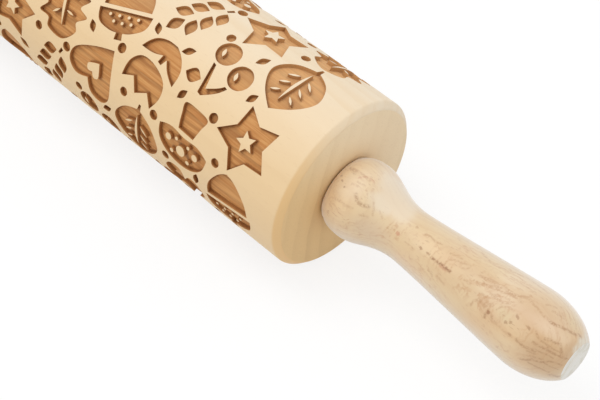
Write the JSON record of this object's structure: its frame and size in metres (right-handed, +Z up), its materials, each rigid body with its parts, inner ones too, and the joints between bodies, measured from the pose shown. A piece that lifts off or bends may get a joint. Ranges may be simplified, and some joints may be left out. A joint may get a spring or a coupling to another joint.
{
  "type": "rolling pin",
  "caption": "Wooden rolling pin with an engraved cylindrical roller that spins on a steel rod held in a waisted, turned handle at each end.",
  "frame": {"origin": "middle of the pin, on the roller's axis", "axes": "+X along the roller's axis towards the right handle, +Z up, +Y towards the back"},
  "size_m": [0.43, 0.06, 0.06],
  "materials": {
    "beech_roller": "sanded, unfinished",
    "beech_handle": "sanded, unfinished",
    "rod_steel": "drawn bar",
    "washer_steel": "stamped",
    "bush_nylon": "moulded, satin",
    "insert_brass": "turned"
  },
  "bodies": {
    "handle_set": {"axle_rod": "rod_steel", "left_handle": "beech_handle", "right_handle": "beech_handle", "left_insert": "insert_brass", "right_insert": "insert_brass", "left_thrust_washer": "washer_steel", "right_thrust_washer": "washer_steel"},
    "spinning_roller": {"roller": "beech_roller", "left_bush": "bush_nylon", "right_bush": "bush_nylon"}
  },
  "joints": [
    {"name": "roller_spin", "type": "hinge", "parent": "handle_set", "child": "spinning_roller", "pos_m": [0, 0, 0], "axis": [1, 0, 0], "continuous": true}
  ]
}
